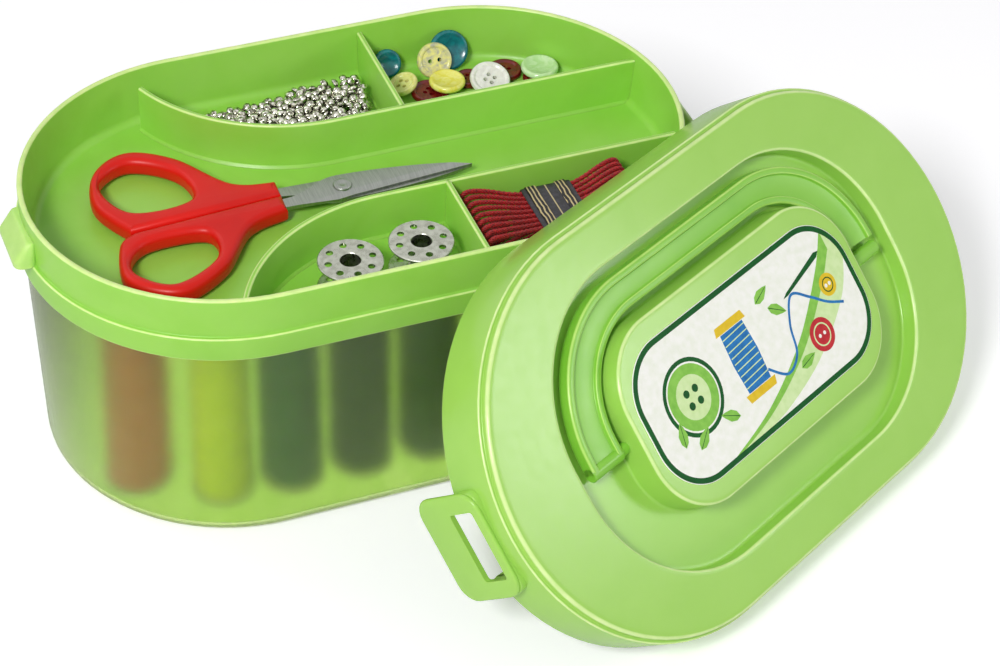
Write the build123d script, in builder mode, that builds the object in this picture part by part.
"""Sewing box: a translucent tub, a cap tray with five compartments, and a snap lid.

The lid is off and leans on the front of the tray, as it stands beside an open box.
Millimetres, +Z up. The origin is the centre of the tub's flat underside, +X runs along
the long axis and -Y is the front.
"""
import os
from math import asin, cos, hypot, radians, sin, sqrt

from build123d import *

os.makedirs("parts", exist_ok=True)

# Overall sizes of the closed box below its lid
box_length = 220.0  # over the tray's rim
box_width = 130.0
box_height = 101.0  # from the floor to the tray's rim

# Tray moulding
collar_height = 14.0  # rim down to the ledge that the lid sits on
skirt_height = 8.5  # ledge down to the skirt's lower edge
ledge_step = 1.4  # how far the ledge stands out from the collar
rim_wall = 1.8
skirt_wall = 1.3
web_thickness = 1.6  # ledge web that rests on the tub
pan_depth = 20.0  # rim down to the tray floor
pan_draft = 1.7  # how far the pan wall leans in over its depth
pan_floor = 1.6
pan_corner = 3.0
tray_to_tub = 0.3

# Tray dividers
divider_wall = 1.8
divider_drop = 3.0  # rim down to the divider's top
divider_root = 0.4  # how far the dividers reach into the pan
back_divider_y = 18.4
front_divider_y = -24.0
divider_bend_radius = 59.5
divider_bend_x = -1.5  # where the straight run meets the bend
cross_divider_x = 22.5

# Lugs on the tray's ends that the lid's latches snap over
lug_width = 22.0
lug_reach = 6.2
lug_height = 8.4
lug_slope = 4.6
lug_nose = 2.0
lug_corner = 2.0

# Tub moulding
tub_wall = 1.4
tub_floor = 1.8
tub_draft = 2.7  # how far the wall leans in over its height
tub_corner = 5.0

# Lid moulding
lid_to_collar = 0.35
lid_wall = 1.5
lid_step_height = 18.4  # skirt edge up to the narrow step
lid_step = 1.2
lid_height = 21.0  # skirt edge up to the plateau
lid_edge_round = 1.2
channel_length = 161.6
channel_width = 101.4
channel_corner = 46.0
channel_depth = 6.0
island_length = 115.4
island_width = 63.4
island_corner = 22.7
island_rise = 5.0  # above the plateau
island_round = 1.4

# Latch tabs at the lid's ends
latch_width = 36.0
latch_drop = 16.0  # below the skirt edge
latch_root = 12.5  # above the skirt edge
latch_plate = 1.8
latch_to_skirt = 0.45
latch_corner = 5.0
slot_to_lug = 0.7
slot_drop = 1.6  # below the skirt edge

# How the lid leans: turn about Z, gap over the rim it rests on, and where its mouth is centred
lid_turn = 28.4
lid_to_rim = 0.3
lid_centre_x = 88.3
lid_centre_y = -84.6

# Lid handle
handle_length = 150.0
handle_width = 92.4
handle_corner = 42.0
handle_bow_end = 14.0  # bar width at the ends
handle_bow_side = 11.2  # bar width along the grip
handle_inner_corner = 30.0
handle_thickness = 5.0
handle_lift = 0.4  # above the channel's floor
handle_groove = 1.2
handle_land = 2.4
pivot_diameter = 4.0
pivot_fit = 0.05  # radial
pivot_grip = 3.2

# Label plate on the island
label_length = 108.3
label_width = 49.3
label_corner = 18.6
label_thickness = 0.4

# Scissors, measured from their rivet, closed, tip along +X
rivet_x = -5.5
rivet_y = -1.7
scissors_turn = -2.3
scissors_lift = 0.7  # clearance over the tray's floor
rivet_diameter = 4.0
rivet_fit = 0.05  # radial
rivet_head = 6.4
rivet_head_height = 0.8
blade_thickness = 1.4
blade_gap = 0.04
blade_reach = 44.5
blade_spine = 5.6  # axis to spine at the rivet
blade_belly = 4.15  # axis to spine halfway along
blade_edge = 4.9  # axis to cutting edge at the heel
blade_bevel = 2.3
blade_grind = 0.7
blade_heel = 3.0
tang_inner = 1.6
tang_outer = 6.0
tang_spread = 1.6
tang_reach = 37.0
grip_start = 20.6
grip_thickness = 6.6
grip_round = 1.1

# Scissors' bows and finger holes, each from its front round the outside
grip_split = 0.15  # half the gap between the handles at their front
split_start = 0.6
front_bow = (
    (-20.6, -8.3),
    (-34.1, -13.4),
    (-46.7, -30.7),
    (-63.1, -39.2),
    (-78.0, -29.2),
    (-76.5, -11.5),
    (-70.5, -6.2),
)
front_eye = ((-74.0, -18.5), (-66.2, -11.9), (-48.5, -12.4), (-48.4, -25.0), (-63.4, -34.0), (-73.8, -26.8))
back_bow = (
    (-20.6, 6.9),
    (-34.6, 10.2),
    (-48.7, 27.9),
    (-63.6, 35.6),
    (-76.1, 28.0),
    (-79.8, 10.9),
    (-71.5, -5.6),
)
back_eye = ((-75.8, 20.7), (-64.8, 29.7), (-50.5, 20.5), (-49.1, 5.6), (-68.9, 4.4))

# Bobbins
bobbin_diameter = 21.0
bobbin_height = 11.4
bobbin_bore = 6.6
bobbin_hub = 8.6
bobbin_flange = 0.9
bobbin_hole = 2.4
bobbin_hole_ring = 7.3
bobbin_hole_count = 8
bobbin_places = ((6.4, -44.0), (-17.8, -45.8))

# Small loose things lie this far from what they rest on
resting = 0.1

# Buttons
button_thickness = 2.4
button_rim = 0.6
button_rim_width = 1.3
button_hole = 1.5
button_hole_ring = 1.7
# Diameter, holes, place, buttons underneath, lean, and the way it faces
buttons = {
    "cream": (10.5, 4, 33.0, 47.5, 0, 22.0, 180.0),
    "white": (14.0, 4, 62.0, 40.1, 0, 21.0, -90.0),
    "yellow": (12.5, 0, 47.6, 43.5, 1, 0.0, 0.0),
    "pale": (12.5, 2, 46.5, 53.4, 0, 60.0, -90.0),
    "clear": (13.0, 0, 80.8, 41.2, 1, 0.0, 0.0),
    "teal_left": (10.0, 0, 31.0, 58.3, 0, 60.0, -90.0),
    "teal_right": (14.0, 0, 53.0, 56.8, 0, 60.0, -90.0),
    "maroon_left": (13.0, 4, 41.0, 42.6, 0, 0.0, 0.0),
    "maroon_middle": (10.0, 4, 56.5, 45.7, 0, 0.0, 0.0),
    "maroon_right": (12.0, 4, 69.9, 46.4, 0, 0.0, 0.0),
    "maroon_under": (12.0, 4, 80.0, 38.6, 0, 0.0, 0.0),
}

# Press studs lie in a heap of staggered layers
stud_diameter = 7.0
stud_plate = 1.0
stud_cap = 3.6
stud_cap_height = 1.4
stud_sides = 8
stud_to_stud = 0.5
stud_layers = 3
stud_front_y = 34.0
stud_columns = 8

# Embroidery floss: one hank, wound flat and drawn in at its waist by a paper band
floss_diameter = 1.7
floss_sides = 8
floss_loops = 9
floss_waist_pitch = 2.15
floss_left_pitch = 3.1
floss_right_pitch = 2.4
floss_left_radius = 6.8
floss_right_radius = 4.8
floss_waist_radius = 2.9
floss_left_y = -41.6
floss_waist_y = -41.0
floss_right_y = -40.4
floss_right_rise = 4.0
floss_right_x = 74.2
band_start_x = 45.0
band_end_x = 62.0
band_wall = 0.5
band_gap = 0.25
tie_width = 3.6
tie_wall = 0.5
tie_inset = 1.6

# Thread spools that stand in the tub: place, winding's diameter
spool_height = 70.0
spool_bore = 3.8
spool_core_wall = 2.8
spool_flange = 1.8
spool_flange_lip = 0.8
thread_to_flange = 0.05
thread_to_core = 0.05
thread_crown = 0.5
spool_places = {
    "orange": (-84.0, -24.0, 21.0),
    "yellow": (-59.5, -38.0, 19.5),
    "teal": (-36.5, -39.5, 20.5),
    "green": (-12.5, -39.5, 20.5),
    "sea": (11.5, -39.5, 20.5),
    "olive": (36.5, -39.0, 20.5),
}

# What follows from the driving sizes
rim_z = box_height
ledge_z = rim_z - collar_height
skirt_z = ledge_z - skirt_height
web_z = ledge_z - web_thickness
tub_top_z = web_z - resting
pan_z = rim_z - pan_depth
divider_z = rim_z - divider_drop
tub_inset = skirt_wall - ledge_step + tray_to_tub
pan_outer_inset = tub_inset + tub_wall + 2 * tray_to_tub
end_centre_x = (box_length - box_width) / 2


def step_out(distance):
    """Length and width of the box's outline moved outwards by a distance."""
    return box_length + 2 * distance, box_width + 2 * distance


# Tub: a tapering stadium with a rounded bottom edge, open at the top
with BuildPart() as tub:
    with BuildSketch(Plane.XY):
        SlotOverall(*step_out(-tub_inset - tub_draft))
    with BuildSketch(Plane.XY.offset(tub_top_z)):
        SlotOverall(*step_out(-tub_inset))
    loft()
    fillet(tub.faces().sort_by(Axis.Z)[0].edges(), tub_corner)
    floor_draft = tub_draft * (1 - tub_floor / tub_top_z)
    with BuildSketch(Plane.XY.offset(tub_floor)):
        SlotOverall(*step_out(-tub_inset - tub_wall - floor_draft))
    with BuildSketch(Plane.XY.offset(tub_top_z)):
        SlotOverall(*step_out(-tub_inset - tub_wall))
    loft(mode=Mode.SUBTRACT)
    inside_floor = tub.faces().filter_by(Axis.Z).sort_by(Axis.Z)[1]
    fillet(inside_floor.edges(), tub_corner - tub_wall)

tub.part.label = "tub"
export_step(tub.part, "parts/tub.step")

# The space inside the pan, which the tray is cut by
with BuildPart() as pan_space:
    with BuildSketch(Plane.XY.offset(pan_z)):
        SlotOverall(*step_out(-rim_wall - pan_draft))
    with BuildSketch(Plane.XY.offset(rim_z)):
        SlotOverall(*step_out(-rim_wall))
    loft()
    fillet(pan_space.faces().sort_by(Axis.Z)[0].edges(), pan_corner)

# Dividers: two that run from the right end and bend to the long walls, and two across
with BuildPart() as dividers:
    with BuildSketch(Plane.XY.offset(pan_z - divider_root)):
        for divider_y, turn in ((back_divider_y, 1), (front_divider_y, -1)):
            with BuildLine():
                Line((box_length / 2, divider_y), (divider_bend_x, divider_y))
                CenterArc(
                    (divider_bend_x, divider_y + turn * divider_bend_radius),
                    divider_bend_radius,
                    -turn * 90,
                    -turn * 90,
                )
            trace(line_width=divider_wall)
            with BuildLine():
                Line((cross_divider_x, divider_y), (cross_divider_x, turn * box_width / 2))
            trace(line_width=divider_wall)
    extrude(amount=divider_z - pan_z + divider_root)
    with BuildSketch(Plane.XY.offset(pan_z - divider_root)):
        SlotOverall(*step_out(divider_root - rim_wall - pan_draft))
    with BuildSketch(Plane.XY.offset(rim_z)):
        SlotOverall(*step_out(divider_root - rim_wall))
    loft(mode=Mode.INTERSECT)

# Tray: rim collar, ledge, skirt round the tub, pan, two lugs and the dividers
with BuildPart() as tray:
    with BuildSketch(Plane.XY.offset(web_z)):
        SlotOverall(*step_out(0))
    extrude(amount=rim_z - web_z)
    with BuildSketch(Plane.XY.offset(skirt_z)):
        SlotOverall(*step_out(ledge_step))
        SlotOverall(*step_out(ledge_step - skirt_wall), mode=Mode.SUBTRACT)
    extrude(amount=ledge_z - skirt_z)
    with BuildSketch(Plane.XY.offset(web_z)):
        SlotOverall(*step_out(ledge_step))
        SlotOverall(*step_out(-pan_outer_inset), mode=Mode.SUBTRACT)
    extrude(amount=web_thickness)
    with BuildSketch(Plane.XY.offset(pan_z - pan_floor)):
        SlotOverall(*step_out(-pan_outer_inset))
    extrude(amount=web_z - pan_z + pan_floor)
    for side in (1, -1):
        with BuildSketch(Plane.XY.offset(ledge_z)):
            with Locations((side * (box_length + lug_reach - rim_wall) / 2, 0)):
                Rectangle(lug_reach + rim_wall, lug_width)
        extrude(amount=lug_height)
        lug_face = tray.faces().sort_by(Axis.X)[-1 if side > 0 else 0]
        chamfer(lug_face.edges().sort_by(Axis.Z)[-1], lug_height - lug_nose, lug_slope)
        nose_face = tray.faces().sort_by(Axis.X)[-1 if side > 0 else 0]
        fillet(nose_face.edges().filter_by(Axis.Z), lug_corner)
    add(pan_space.part, mode=Mode.SUBTRACT)
    add(dividers.part)
    rim_edges = tray.faces().filter_by(Axis.Z).sort_by(Axis.Z)[-1].edges()
    fillet(rim_edges, rim_wall / 4)

tray.part.label = "tray"
export_step(tray.part, "parts/tray.step")

# The lid's own frame: origin at the centre of its skirt edge, Z out of its top
turn_angle = radians(lid_turn)
lid_outset = lid_to_collar + lid_wall
# One long edge stands on the floor, and the inside of the other lies on the tray's rim
lean_angle = asin((rim_z + lid_to_rim) / (box_width + lid_outset + lid_to_collar))
along = Vector(cos(turn_angle), sin(turn_angle), 0)
upward = Vector(-sin(turn_angle) * cos(lean_angle), cos(turn_angle) * cos(lean_angle), sin(lean_angle))
outward = along.cross(upward)
lid_centre_z = (box_width / 2 + lid_outset) * sin(lean_angle)
lid_frame = Plane(origin=(lid_centre_x, lid_centre_y, lid_centre_z), x_dir=along, z_dir=outward)
outward_axis = Axis(lid_frame.origin, outward)


def on_lid(x, y, z):
    """World place of a point given in the lid's own frame."""
    return lid_frame.from_local_coords((x, y, z))


channel_z = lid_height - channel_depth
island_z = lid_height + island_rise
hollow_z = channel_z - lid_wall
pivot_z = channel_z + handle_lift + handle_thickness / 2
latch_x = box_length / 2 + ledge_step + latch_to_skirt
slot_top = lug_height + slot_to_lug
end_radius = box_width / 2 + lid_to_collar
# How far the skirt's wall falls back from its end at the latch's corners
end_fall = end_radius - sqrt(end_radius**2 - (latch_width / 2) ** 2)
latch_depth = latch_x - box_length / 2 - lid_to_collar + end_fall


def latch_plane(side):
    """Plane of a latch's inner face: X along its width, Y out of the lid's top, Z outwards."""
    return Plane(origin=on_lid(side * latch_x, 0, 0), x_dir=upward * side, z_dir=along * side)


with BuildPart() as lid:
    # Outer form: skirt, step and plateau
    with BuildSketch(lid_frame):
        SlotOverall(*step_out(lid_outset))
    extrude(amount=lid_step_height)
    with BuildSketch(lid_frame.offset(lid_step_height)):
        SlotOverall(*step_out(lid_outset - lid_step))
    extrude(amount=lid_height - lid_step_height)
    fillet(lid.faces().sort_by(outward_axis)[-1].edges(), lid_edge_round)
    # Racetrack channel round the raised island
    with BuildSketch(lid_frame.offset(channel_z)):
        RectangleRounded(channel_length, channel_width, channel_corner)
        RectangleRounded(island_length, island_width, island_corner, mode=Mode.SUBTRACT)
    extrude(amount=channel_depth, mode=Mode.SUBTRACT)
    with BuildSketch(lid_frame.offset(lid_height)):
        RectangleRounded(island_length, island_width, island_corner)
    extrude(amount=island_rise)
    fillet(lid.faces().sort_by(outward_axis)[-1].edges(), island_round)
    # Latch tabs hang from pads on the skirt
    for side in (1, -1):
        with BuildSketch(latch_plane(side)):
            with Locations((0, (latch_root - latch_drop) / 2)):
                RectangleRounded(latch_width, latch_root + latch_drop, latch_corner)
        extrude(amount=latch_plate)
        with BuildSketch(latch_plane(side)):
            with Locations((0, (latch_root - latch_drop) / 2)):
                RectangleRounded(latch_width, latch_root + latch_drop, latch_corner)
            with Locations((0, latch_root / 2)):
                Rectangle(latch_width, latch_root, mode=Mode.INTERSECT)
        extrude(amount=-latch_depth)
    # Hollow underside: below the channel, round it and inside the island
    with BuildSketch(lid_frame):
        SlotOverall(*step_out(lid_to_collar))
    extrude(amount=hollow_z, mode=Mode.SUBTRACT)
    with BuildSketch(lid_frame.offset(hollow_z)):
        SlotOverall(*step_out(lid_to_collar))
        RectangleRounded(
            channel_length + 2 * lid_wall,
            channel_width + 2 * lid_wall,
            channel_corner + lid_wall,
            mode=Mode.SUBTRACT,
        )
    extrude(amount=lid_height - lid_wall - hollow_z, mode=Mode.SUBTRACT)
    with BuildSketch(lid_frame.offset(hollow_z)):
        RectangleRounded(island_length - 2 * lid_wall, island_width - 2 * lid_wall, island_corner - lid_wall)
    extrude(amount=island_z - lid_wall - hollow_z, mode=Mode.SUBTRACT)
    # Slots for the lugs and holes for the handle's pins
    for side in (1, -1):
        with BuildSketch(latch_plane(side).offset(latch_plate)):
            with Locations((0, (slot_top - slot_drop) / 2)):
                Rectangle(lug_width + 2 * slot_to_lug, slot_top + slot_drop)
        extrude(amount=-latch_plate - latch_depth, mode=Mode.SUBTRACT)
        pin_hole = Plane(origin=on_lid(side * island_length / 2, 0, pivot_z), x_dir=upward, z_dir=-along * side)
        with BuildSketch(pin_hole):
            Circle(pivot_diameter / 2 + pivot_fit)
        extrude(amount=lid_wall, mode=Mode.SUBTRACT)

lid.part.label = "lid"
export_step(lid.part, "parts/lid.step")

# Handle: a grooved bow that lies in one half of the channel and swings on two pins
handle_inner_length = handle_length - 2 * handle_bow_end
handle_inner_width = handle_width - 2 * handle_bow_side
handle_frame = lid_frame.offset(channel_z + handle_lift)
groove_length = handle_length - 2 * handle_land
groove_width = handle_width - 2 * handle_land
with BuildPart() as handle:
    with BuildSketch(handle_frame):
        RectangleRounded(handle_length, handle_width, handle_corner)
        RectangleRounded(handle_inner_length, handle_inner_width, handle_inner_corner, mode=Mode.SUBTRACT)
        with Locations((0, handle_width / 4)):
            Rectangle(handle_length, handle_width / 2, mode=Mode.INTERSECT)
    extrude(amount=handle_thickness)
    with BuildSketch(handle_frame.offset(handle_thickness)):
        RectangleRounded(groove_length, groove_width, handle_corner - handle_land)
        RectangleRounded(
            handle_inner_length + 2 * handle_land,
            handle_inner_width + 2 * handle_land,
            handle_inner_corner + handle_land,
            mode=Mode.SUBTRACT,
        )
        with Locations((0, handle_land + groove_width / 2)):
            Rectangle(handle_length, groove_width, mode=Mode.INTERSECT)
    extrude(amount=-handle_groove, mode=Mode.SUBTRACT)
    for side in (1, -1):
        eye = Plane(origin=on_lid(side * handle_length / 2, 0, pivot_z), x_dir=upward, z_dir=-along * side)
        with BuildSketch(eye):
            Circle(handle_thickness / 2)
        extrude(amount=handle_bow_end)
        with BuildSketch(eye.offset(handle_bow_end)):
            Circle(pivot_diameter / 2)
        extrude(amount=(handle_inner_length - island_length) / 2 + pivot_grip)

handle.part.label = "lid_handle"
export_step(handle.part, "parts/lid_handle.step")

# Label plate on the island
with BuildPart() as label_plate:
    with BuildSketch(lid_frame.offset(island_z)):
        RectangleRounded(label_length, label_width, label_corner)
    extrude(amount=label_thickness)

label_plate.part.label = "lid_label"
export_step(label_plate.part, "parts/lid_label.step")

# Scissors: closed, flat on the tray's floor, in their own frame at the rivet
grip_z = pan_z + scissors_lift
shear_z = grip_z + grip_thickness / 2
blade_step = blade_gap / 2 + blade_thickness
scissors_x = Vector(cos(radians(scissors_turn)), sin(radians(scissors_turn)), 0)


def scissors_plane(height):
    """Plane at the rivet: X towards the tip, Z up."""
    return Plane(origin=(rivet_x, rivet_y, height), x_dir=scissors_x, z_dir=(0, 0, 1))


scissors_halves = {
    "front": (1, shear_z + blade_gap / 2, front_bow, front_eye),
    "back": (-1, shear_z - blade_step, back_bow, back_eye),
}
for half, (flip, blade_z, bow, eye) in scissors_halves.items():
    # A blade has its spine on one side of the axis and its tang on the other
    with BuildPart() as blade:
        with BuildSketch(scissors_plane(blade_z)):
            with BuildLine():
                ThreePointArc((0, flip * blade_spine), (blade_reach / 2, flip * blade_belly), (blade_reach, 0))
                Line((blade_reach, 0), (blade_heel, -flip * blade_edge))
                Line((blade_heel, -flip * blade_edge), (-blade_heel, -flip * tang_outer))
                Line((-blade_heel, -flip * tang_outer), (-grip_start, -flip * tang_outer))
                Line((-grip_start, -flip * tang_outer), (-tang_reach, -flip * (tang_outer + tang_spread)))
                Line(
                    (-tang_reach, -flip * (tang_outer + tang_spread)),
                    (-tang_reach, -flip * (tang_inner + tang_spread)),
                )
                Line((-tang_reach, -flip * (tang_inner + tang_spread)), (-grip_start, -flip * tang_inner))
                Spline((-grip_start, -flip * tang_inner), (0, flip * blade_spine), tangents=((1, 0), (1, 0)))
            make_face()
            Circle(rivet_diameter / 2 + rivet_fit, mode=Mode.SUBTRACT)
        extrude(amount=blade_thickness)
        outer_face = blade.faces().sort_by(Axis.Z)[-1 if flip > 0 else 0]
        edge_middle = scissors_plane(outer_face.center().Z).from_local_coords(
            ((blade_reach + blade_heel) / 2, -flip * blade_edge / 2, 0)
        )
        cutting_edge = outer_face.edges().sort_by_distance(edge_middle)[0]
        chamfer(cutting_edge, blade_bevel, blade_grind, reference=outer_face)
    blade.part.label = f"scissors_blade_{half}"
    export_step(blade.part, f"parts/scissors_blade_{half}.step")

    # The handle's bow is moulded on the tang
    with BuildPart() as bow_part:
        with BuildSketch(scissors_plane(grip_z)):
            with BuildLine():
                Spline(*bow)
                Line(bow[-1], (-grip_start, -grip_split * flip - split_start))
                Line((-grip_start, -grip_split * flip - split_start), bow[0])
            make_face()
            with BuildLine():
                Spline(*eye, periodic=True)
            make_face(mode=Mode.SUBTRACT)
        extrude(amount=grip_thickness)
        flat_faces = bow_part.faces().filter_by(Axis.Z)
        fillet(flat_faces.edges(), grip_round)
        add(blade.part, mode=Mode.SUBTRACT)
    bow_part.part.label = f"scissors_handle_{half}"
    export_step(bow_part.part, f"parts/scissors_handle_{half}.step")

# Rivet through both blades, with a head on each side
rivet_low_z = shear_z - blade_step - blade_gap
with BuildPart() as rivet:
    with BuildSketch(scissors_plane(rivet_low_z)):
        Circle(rivet_diameter / 2)
    extrude(amount=2 * (shear_z - rivet_low_z))
    for head_z, grow in ((rivet_low_z, -1), (2 * shear_z - rivet_low_z, 1)):
        with BuildSketch(scissors_plane(head_z)):
            Circle(rivet_head / 2)
        extrude(amount=grow * rivet_head_height)

rivet.part.label = "scissors_rivet"
export_step(rivet.part, "parts/scissors_rivet.step")

# Bobbins lie flat: two perforated flanges on a hollow hub
for number, (bobbin_x, bobbin_y) in enumerate(bobbin_places, 1):
    with BuildPart() as bobbin:
        with BuildSketch(Plane.XY.offset(pan_z + resting)):
            with Locations((bobbin_x, bobbin_y)):
                Circle(bobbin_hub / 2)
        extrude(amount=bobbin_height)
        for flange_z in (pan_z + resting, pan_z + resting + bobbin_height - bobbin_flange):
            with BuildSketch(Plane.XY.offset(flange_z)):
                with Locations((bobbin_x, bobbin_y)):
                    Circle(bobbin_diameter / 2)
                    with PolarLocations(bobbin_hole_ring, bobbin_hole_count):
                        Circle(bobbin_hole / 2, mode=Mode.SUBTRACT)
            extrude(amount=bobbin_flange)
        with BuildSketch(Plane.XY.offset(pan_z + resting)):
            with Locations((bobbin_x, bobbin_y)):
                Circle(bobbin_bore / 2)
        extrude(amount=bobbin_height, mode=Mode.SUBTRACT)
    bobbin.part.label = f"bobbin_{number}"
    export_step(bobbin.part, f"parts/bobbin_{number}.step")

# Buttons: a leaning one stands on its lower rim, and a level counts buttons underneath
for name, (diameter, hole_count, button_x, button_y, level, lean, heading) in buttons.items():
    lean_rad = radians(lean)
    heading_rad = radians(heading)
    facing = Vector(sin(lean_rad) * cos(heading_rad), sin(lean_rad) * sin(heading_rad), cos(lean_rad))
    middle_z = diameter / 2 * sin(lean_rad) + button_thickness / 2 * cos(lean_rad)
    button_z = pan_z + resting + level * (button_thickness + resting) + middle_z
    middle = Vector(button_x, button_y, button_z)
    button_plane = Plane(origin=middle - facing * button_thickness / 2, z_dir=facing)
    with BuildPart() as button:
        with BuildSketch(button_plane):
            Circle(diameter / 2)
        extrude(amount=button_thickness)
        with BuildSketch(button_plane.offset(button_thickness)):
            Circle(diameter / 2 - button_rim_width)
        extrude(amount=-button_rim, mode=Mode.SUBTRACT)
        if hole_count:
            with BuildSketch(button_plane):
                with PolarLocations(button_hole_ring, hole_count):
                    Circle(button_hole / 2)
            extrude(amount=button_thickness, mode=Mode.SUBTRACT)
    button.part.label = f"button_{name}"
    export_step(button.part, f"parts/button_{name}.step")

# Press studs: staggered layers in the compartment behind the curved divider
stud_pitch = stud_diameter + stud_to_stud
stud_row = stud_pitch * sin(radians(60))
stud_radius = stud_diameter / 2
stud_layer_height = stud_plate + stud_cap_height + resting
heap_back_y = box_width / 2 - rim_wall - pan_draft - pan_corner - stud_radius
heap_right_x = cross_divider_x - divider_wall / 2 - stud_to_stud - stud_radius
bend_reach = divider_bend_radius - divider_wall / 2 - stud_to_stud - stud_radius
wall_reach = box_width / 2 - rim_wall - pan_draft - pan_corner - stud_radius
stud_places = []
for layer in range(stud_layers):
    row_count = int((heap_back_y - stud_front_y) / stud_row) + 1 - layer
    for row in range(row_count):
        stud_y = heap_back_y - (row + layer / 3) * stud_row
        shift = stud_pitch / 2 * ((row + layer) % 2)
        for column in range(stud_columns - 2 * layer):
            stud_x = heap_right_x - shift - column * stud_pitch
            clear_of_bend = hypot(stud_x - divider_bend_x, stud_y - back_divider_y - divider_bend_radius)
            clear_of_wall = hypot(stud_x + end_centre_x, stud_y)
            inside_bend = stud_x > divider_bend_x or clear_of_bend < bend_reach
            inside_wall = stud_x > -end_centre_x or clear_of_wall < wall_reach
            if inside_bend and inside_wall:
                stud_places.append((stud_x, stud_y, pan_z + resting + layer * stud_layer_height))
with BuildPart() as press_studs:
    for stud_x, stud_y, stud_z in stud_places:
        with BuildSketch(Plane.XY.offset(stud_z)):
            with Locations((stud_x, stud_y)):
                RegularPolygon(stud_radius, stud_sides)
        extrude(amount=stud_plate)
        with BuildSketch(Plane.XY.offset(stud_z + stud_plate)):
            with Locations((stud_x, stud_y)):
                RegularPolygon(stud_cap / 2, stud_sides)
        extrude(amount=stud_cap_height)

press_studs.part.label = "press_studs"
export_step(press_studs.part, "parts/press_studs.step")

# Embroidery floss: one tube through flat loops, which a waist draws in
floss_radius = floss_diameter / 2
floss_left_x = cross_divider_x + divider_wall / 2 + resting + floss_radius + floss_left_radius
floss_low_z = pan_z + resting + floss_radius
waist_z = floss_low_z + floss_left_radius
right_z = waist_z + floss_right_rise


def floss_point(where, index, height):
    """Place of a strand: index counts strands from the front, height is -1 below or 1 above."""
    offset = index - (floss_loops - 1) / 2
    if where == "left":
        return Vector(floss_left_x, floss_left_y + offset * floss_left_pitch, waist_z + height * floss_left_radius)
    if where == "right":
        return Vector(floss_right_x, floss_right_y + offset * floss_right_pitch, right_z + height * floss_right_radius)
    waist_x = band_start_x if where == "waist_left" else band_end_x
    return Vector(waist_x, floss_waist_y + offset * floss_waist_pitch, waist_z + height * floss_waist_radius)


def swerve(start, end, heading):
    """Two equal arcs that leave and arrive along a heading; adds them and their points."""
    middle = (start + end) / 2
    chord = (middle - start).normalized()
    turned = chord * (2 * chord.dot(heading)) - heading
    first = TangentArc(start, middle, tangent=heading)
    second = TangentArc(middle, end, tangent=turned)
    return [first, second]


with BuildPart() as floss:
    with BuildLine() as strand:
        pieces = []
        for loop in range(floss_loops):
            right_low, right_high = floss_point("right", loop, -1), floss_point("right", loop, 1)
            left_low, left_high = floss_point("left", loop, -1), floss_point("left", loop, 1)
            arrive = floss_point("waist_right", loop - 0.5, -1)
            if loop == 0:
                floss_start = arrive - Vector(band_end_x - band_start_x, 0, 0) / 2
                pieces.append(Line(floss_start, arrive))
            pieces += swerve(arrive, right_low, Vector(1, 0, 0))
            pieces.append(
                ThreePointArc(right_low, (right_low + right_high) / 2 + Vector(floss_right_radius, 0, 0), right_high)
            )
            pieces += swerve(right_high, floss_point("waist_right", loop, 1), Vector(-1, 0, 0))
            pieces.append(Line(floss_point("waist_right", loop, 1), floss_point("waist_left", loop, 1)))
            pieces += swerve(floss_point("waist_left", loop, 1), left_high, Vector(-1, 0, 0))
            pieces.append(
                ThreePointArc(left_high, (left_low + left_high) / 2 - Vector(floss_left_radius, 0, 0), left_low)
            )
            pieces += swerve(left_low, floss_point("waist_left", loop + 0.5, -1), Vector(1, 0, 0))
            run_end = floss_point("waist_right", loop + 0.5, -1)
            if loop == floss_loops - 1:
                run_end -= Vector(band_end_x - band_start_x, 0, 0) / 2
            pieces.append(Line(floss_point("waist_left", loop + 0.5, -1), run_end))
    with BuildSketch(Plane(origin=floss_start, x_dir=(0, 1, 0), z_dir=(1, 0, 0))):
        RegularPolygon(floss_radius, floss_sides)
    sweep(path=strand.line)

floss.part.label = "floss_hank"
export_step(floss.part, "parts/floss_hank.step")

# The gap between neighbouring strands, from points along the route
route = [piece.position_at(step / 8) for piece in pieces for step in range(8)]
apart = int(len(route) / floss_loops / 3)
least = min(
    (route[a] - route[b]).length
    for a in range(len(route))
    for b in range(a + apart, len(route))
)
print("floss: least gap between strands", round(least - floss_diameter, 3), "mm")

# Paper band round the hank's waist, and a tie near each end of it
band_half_width = floss_loops / 2 * floss_waist_pitch + floss_radius + band_gap
band_half_height = floss_waist_radius + floss_radius + band_gap
band_length = band_end_x - band_start_x


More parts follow.
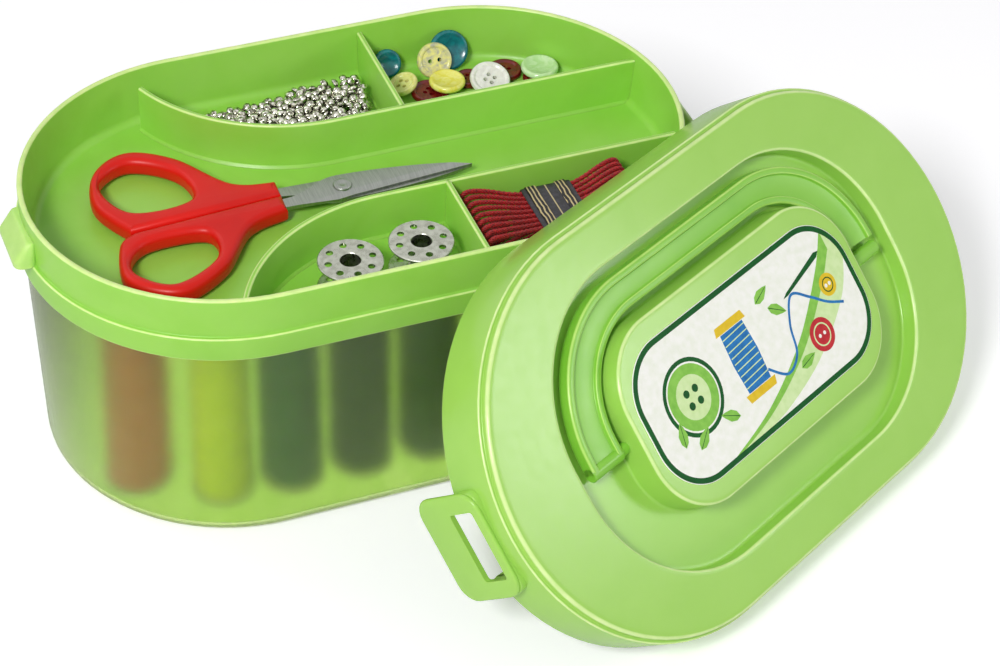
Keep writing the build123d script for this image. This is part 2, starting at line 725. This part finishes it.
def sleeve(start_x, length, inner, wall):
    """Flat tube round the waist, from start_x on, standing out from the band's inside by inner."""
    with BuildPart() as made:
        with BuildSketch(Plane(origin=(start_x, floss_waist_y, waist_z), x_dir=(0, 1, 0), z_dir=(1, 0, 0))):
            for grow, mode in ((inner + wall, Mode.ADD), (inner, Mode.SUBTRACT)):
                half_width = band_half_width + grow
                half_height = band_half_height + grow
                corner = floss_radius + band_gap + grow
                RectangleRounded(2 * half_width, 2 * half_height, corner, mode=mode)
        extrude(amount=length)
    return made.part


floss_band = sleeve(band_start_x, band_length, 0, band_wall)
floss_band.label = "floss_band"
export_step(floss_band, "parts/floss_band.step")
for name, tie_x in (("left", band_start_x + tie_inset), ("right", band_end_x - tie_inset - tie_width)):
    tie = sleeve(tie_x, tie_width, band_wall, tie_wall)
    tie.label = f"floss_tie_{name}"
    export_step(tie, f"parts/floss_tie_{name}.step")

# Thread spools stand in the tub: a flanged core, and the thread wound on it
spool_z = tub_floor + resting
winding_height = spool_height - 2 * (spool_flange + thread_to_flange)
core_radius = spool_bore / 2 + spool_core_wall
for name, (spool_x, spool_y, winding_diameter) in spool_places.items():
    winding_radius = winding_diameter / 2
    with BuildPart() as core:
        with BuildSketch(Plane.XY.offset(spool_z)):
            with Locations((spool_x, spool_y)):
                Circle(core_radius)
        extrude(amount=spool_height)
        for flange_z in (spool_z, spool_z + spool_height - spool_flange):
            with BuildSketch(Plane.XY.offset(flange_z)):
                with Locations((spool_x, spool_y)):
                    Circle(winding_radius + spool_flange_lip)
            extrude(amount=spool_flange)
        with BuildSketch(Plane.XY.offset(spool_z)):
            with Locations((spool_x, spool_y)):
                Circle(spool_bore / 2)
        extrude(amount=spool_height, mode=Mode.SUBTRACT)
    core.part.label = f"spool_{name}"
    export_step(core.part, f"parts/spool_{name}.step")

    with BuildPart() as winding:
        with BuildSketch(Plane(origin=(spool_x, spool_y, spool_z), x_dir=(1, 0, 0), z_dir=(0, -1, 0))):
            with BuildLine():
                low = spool_flange + thread_to_flange
                high = low + winding_height
                Polyline(
                    (winding_radius, high),
                    (core_radius + thread_to_core, high),
                    (core_radius + thread_to_core, low),
                    (winding_radius, low),
                )
                ThreePointArc(
                    (winding_radius, low),
                    (winding_radius + thread_crown, (low + high) / 2),
                    (winding_radius, high),
                )
            make_face()
        revolve(axis=Axis((spool_x, spool_y, 0), (0, 0, 1)))
    winding.part.label = f"thread_{name}"
    export_step(winding.part, f"parts/thread_{name}.step")
